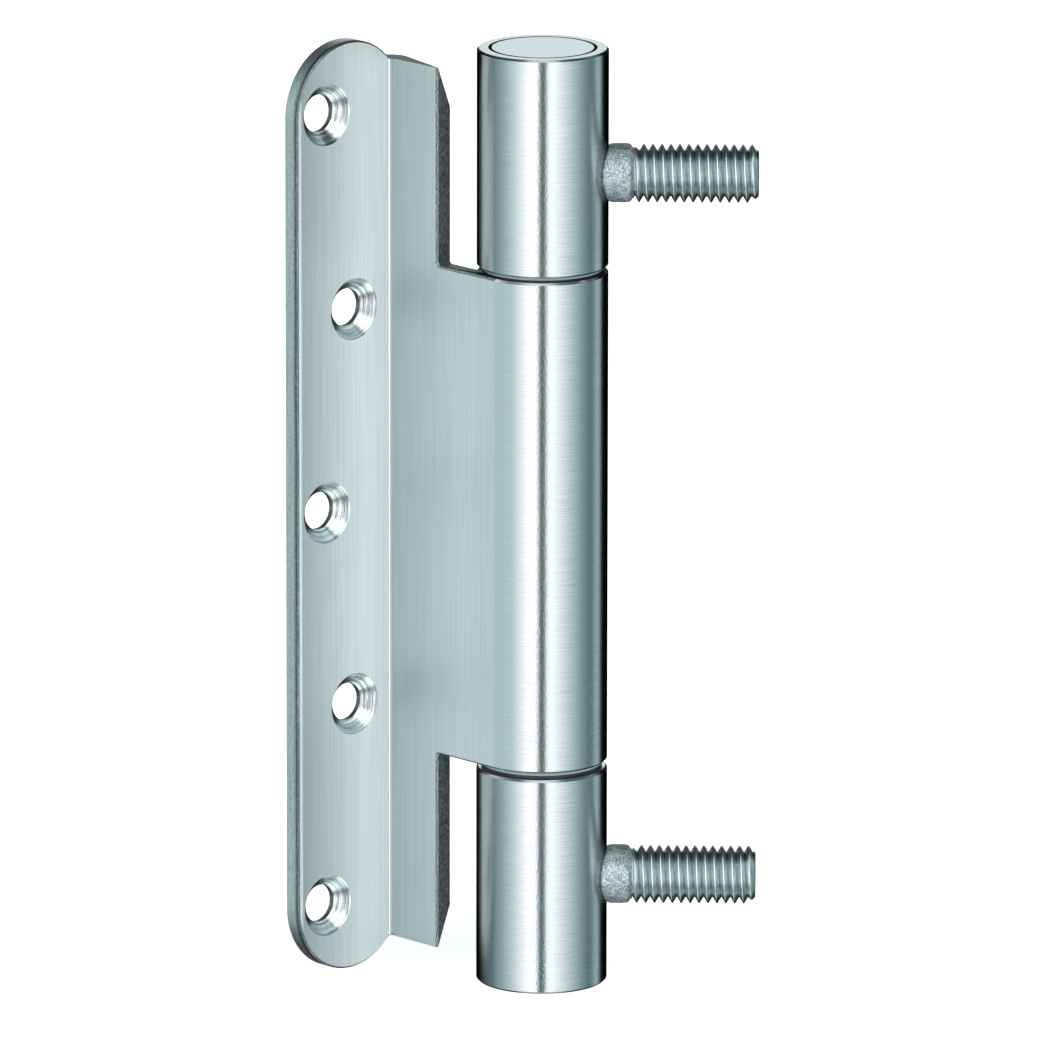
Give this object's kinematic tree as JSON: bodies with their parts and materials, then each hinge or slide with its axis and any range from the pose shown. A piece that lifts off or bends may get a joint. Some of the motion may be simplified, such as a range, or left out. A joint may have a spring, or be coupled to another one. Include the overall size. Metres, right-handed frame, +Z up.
{
  "type": "retrofit door hinge",
  "caption": "Three-knuckle retrofit door hinge: a folded screw-on leaf swings on a pin between frame knuckles with threaded studs.",
  "frame": {"origin": "on the hinge axis at the lower end face of the barrel", "axes": "+Z up the hinge axis; +Y out of the back face of the door leaf, the face that seats on the door; the leaf's free edge lies towards -X; the frame studs point 45 degrees between +X and -Y"},
  "size_m": [0.0601, 0.0566, 0.16],
  "materials": {
    "leaf_steel": "satin, brushed along the height",
    "knuckle_steel": "satin, ground round the barrel",
    "cap_steel": "fine ground face",
    "stud_steel": "rolled thread, blasted shank",
    "pin_steel": "ground and hardened",
    "bearing_plastic": "matt bearing plastic",
    "ring_plastic": "matt black",
    "screw_steel": "blackened"
  },
  "bodies": {
    "frame_side": {"lower_knuckle": "knuckle_steel", "upper_knuckle": "knuckle_steel", "lower_end_cap": "cap_steel", "upper_end_cap": "cap_steel", "lower_frame_stud": "stud_steel", "upper_frame_stud": "stud_steel", "hinge_pin": "pin_steel", "lower_grub_screw": "screw_steel", "upper_grub_screw": "screw_steel"},
    "leaf_side": {"door_leaf": "leaf_steel", "lower_bearing_bush": "bearing_plastic", "upper_bearing_bush": "bearing_plastic"}
  },
  "joints": [
    {"name": "door_leaf_swing", "type": "hinge", "parent": "frame_side", "child": "leaf_side", "pos_m": [0, 0, 0.0802], "axis": [0, 0, 1], "range_deg": [-90, 90]}
  ]
}
